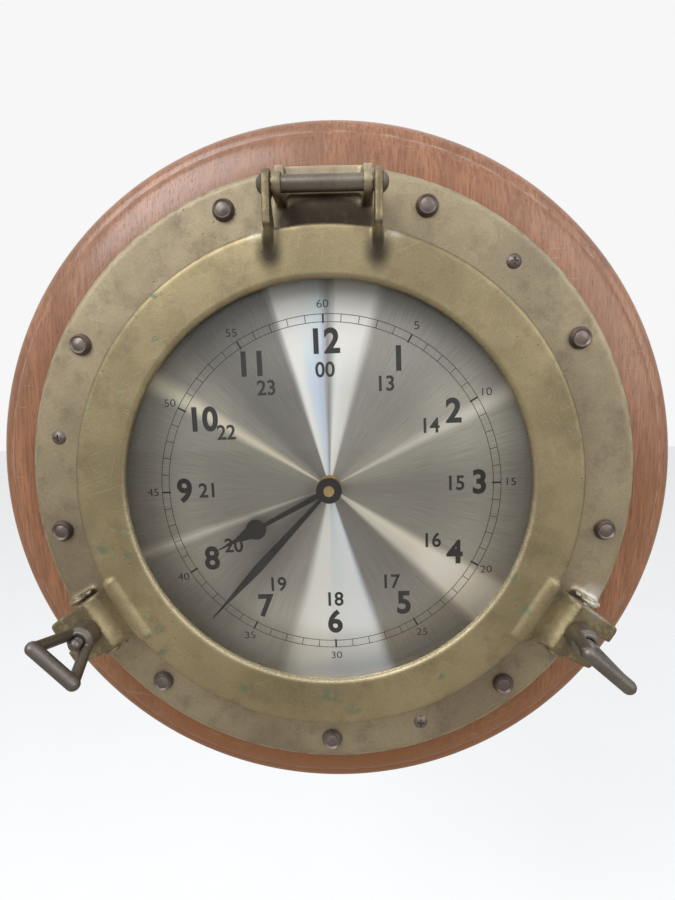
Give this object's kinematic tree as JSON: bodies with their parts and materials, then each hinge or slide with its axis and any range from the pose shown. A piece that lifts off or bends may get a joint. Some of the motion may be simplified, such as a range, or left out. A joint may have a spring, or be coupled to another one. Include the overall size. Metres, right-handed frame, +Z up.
{
  "type": "porthole wall clock",
  "caption": "Round wooden wall clock with a hinged brass porthole, clamp nuts with loop handles, a glazed sash and a dial with hands.",
  "frame": {"origin": "hanging point at the top of the keyhole slot, on the wall", "axes": "+Z up the wall, +X to the right seen from the front, +Y into the wall; the clock faces -Y"},
  "size_m": [0.358, 0.0913, 0.358],
  "materials": {
    "board_wood": "satin varnish over reddish mahogany, with fine scratches",
    "flange_brass": "dull, worn and tarnished cast brass",
    "sash_brass": "worn cast brass, brighter than the flange, with spots of verdigris",
    "fastener_bronze": "dark, purple-brown bronze",
    "clamp_bronze": "dark, dull bronze",
    "bright_brass": "bright turned brass",
    "pane_glass": "clear, polished",
    "gasket_rubber": "matte black",
    "dial_steel": "brushed radially from the centre, printed in black",
    "hand_black": "satin black paint",
    "hanger_steel": "zinc plated",
    "washer_rubber": "matte black",
    "case_plastic": "moulded black plastic, fine texture",
    "gear_plastic": "natural white moulded plastic",
    "setting_plastic": "red moulded plastic",
    "battery_sleeve": "plain printed sleeve over a steel can",
    "spring_steel": "nickel plated strip",
    "stator_steel": "stamped soft iron sheet",
    "coil_copper": "enamelled copper wire",
    "board_laminate": "green glass-fibre laminate"
  },
  "bodies": {
    "clock": {"backboard": "board_wood", "keyhole_hanger": "hanger_steel", "hanger_screws": "hanger_steel", "porthole_flange": "flange_brass", "flange_rivets": "fastener_bronze", "mounting_screws": "fastener_bronze", "hinge_pin": "clamp_bronze", "swing_bolt_left": "clamp_bronze", "swing_bolt_right": "clamp_bronze", "bolt_pivot_left": "fastener_bronze", "bolt_pivot_right": "fastener_bronze", "dial_plate": "dial_steel", "centre_bush": "bright_brass", "rubber_washer": "washer_rubber", "dial_washer": "bright_brass", "movement_nut": "bright_brass", "movement_case": "case_plastic", "movement_cover": "case_plastic", "battery": "battery_sleeve", "battery_contacts": "spring_steel", "stator": "stator_steel", "coil": "coil_copper", "circuit_board": "board_laminate"},
    "sash": {"sash_ring": "sash_brass", "glass_pane": "pane_glass", "glass_retaining_ring": "bright_brass", "sash_gasket": "gasket_rubber"},
    "left_nut": {"loop_nut_left": "clamp_bronze"},
    "right_nut": {"loop_nut_right": "clamp_bronze"},
    "minute_arbor": {"minute_tube": "bright_brass", "minute_hand": "hand_black", "hand_nut": "bright_brass"},
    "hour_arbor": {"hour_wheel": "gear_plastic", "hour_hand": "hand_black"},
    "motion_gear": {"motion_wheel": "gear_plastic"},
    "setting_gear": {"setting_knob": "setting_plastic"},
    "centre_gear": {"centre_wheel": "gear_plastic"},
    "third_gear": {"third_wheel": "gear_plastic"},
    "second_gear": {"second_wheel": "gear_plastic"},
    "reduction_gear": {"reduction_wheel": "gear_plastic"},
    "rotor_gear": {"rotor": "gear_plastic"}
  },
  "joints": [
    {"name": "sash_hinge", "type": "hinge", "parent": "clock", "child": "sash", "pos_m": [0, -0.059, 0.011], "axis": [-1, 0, 0], "range_deg": [0, 110]},
    {"name": "left_nut_spin", "type": "hinge", "parent": "sash", "child": "left_nut", "pos_m": [-0.12086, -0.062, -0.19762], "axis": [0, -1, 0], "continuous": true},
    {"name": "right_nut_spin", "type": "hinge", "parent": "sash", "child": "right_nut", "pos_m": [0.12086, -0.062, -0.19762], "axis": [0, -1, 0], "continuous": true},
    {"name": "minute_spin", "type": "hinge", "parent": "clock", "child": "minute_arbor", "pos_m": [0, -0.037, -0.1296], "axis": [0, 1, 0], "continuous": true},
    {"name": "hour_spin", "type": "hinge", "parent": "clock", "child": "hour_arbor", "pos_m": [0, -0.035, -0.1296], "axis": [0, 1, 0], "continuous": true},
    {"name": "motion_spin", "type": "hinge", "parent": "clock", "child": "motion_gear", "pos_m": [0.00797, -0.022, -0.13227], "axis": [0, 1, 0], "continuous": true},
    {"name": "setting_spin", "type": "hinge", "parent": "clock", "child": "setting_gear", "pos_m": [0.01602, -0.022, -0.12733], "axis": [0, 1, 0], "continuous": true},
    {"name": "rotor_spin", "type": "hinge", "parent": "clock", "child": "rotor_gear", "pos_m": [0.00672, -0.016, -0.11259], "axis": [0, 1, 0], "continuous": true},
    {"name": "reduction_spin", "type": "hinge", "parent": "clock", "child": "reduction_gear", "pos_m": [-0.00033, -0.014, -0.11468], "axis": [0, 1, 0], "continuous": true},
    {"name": "second_spin", "type": "hinge", "parent": "clock", "child": "second_gear", "pos_m": [-0.0083, -0.016, -0.11202], "axis": [0, 1, 0], "continuous": true},
    {"name": "third_spin", "type": "hinge", "parent": "clock", "child": "third_gear", "pos_m": [-0.01107, -0.018, -0.12359], "axis": [0, 1, 0], "continuous": true},
    {"name": "centre_spin", "type": "hinge", "parent": "clock", "child": "centre_gear", "pos_m": [0, -0.02, -0.1296], "axis": [0, 1, 0], "continuous": true}
  ],
  "couplings": [
    {"joint": "hour_spin", "follows": "minute_spin", "ratio": 0.083333},
    {"joint": "motion_spin", "follows": "minute_spin", "ratio": -0.33333},
    {"joint": "setting_spin", "follows": "minute_spin", "ratio": 0.66667},
    {"joint": "reduction_spin", "follows": "rotor_spin", "ratio": -0.16667},
    {"joint": "second_spin", "follows": "rotor_spin", "ratio": 0.033333},
    {"joint": "third_spin", "follows": "rotor_spin", "ratio": -0.0044444},
    {"joint": "centre_spin", "follows": "rotor_spin", "ratio": 0.00055556}
  ]
}
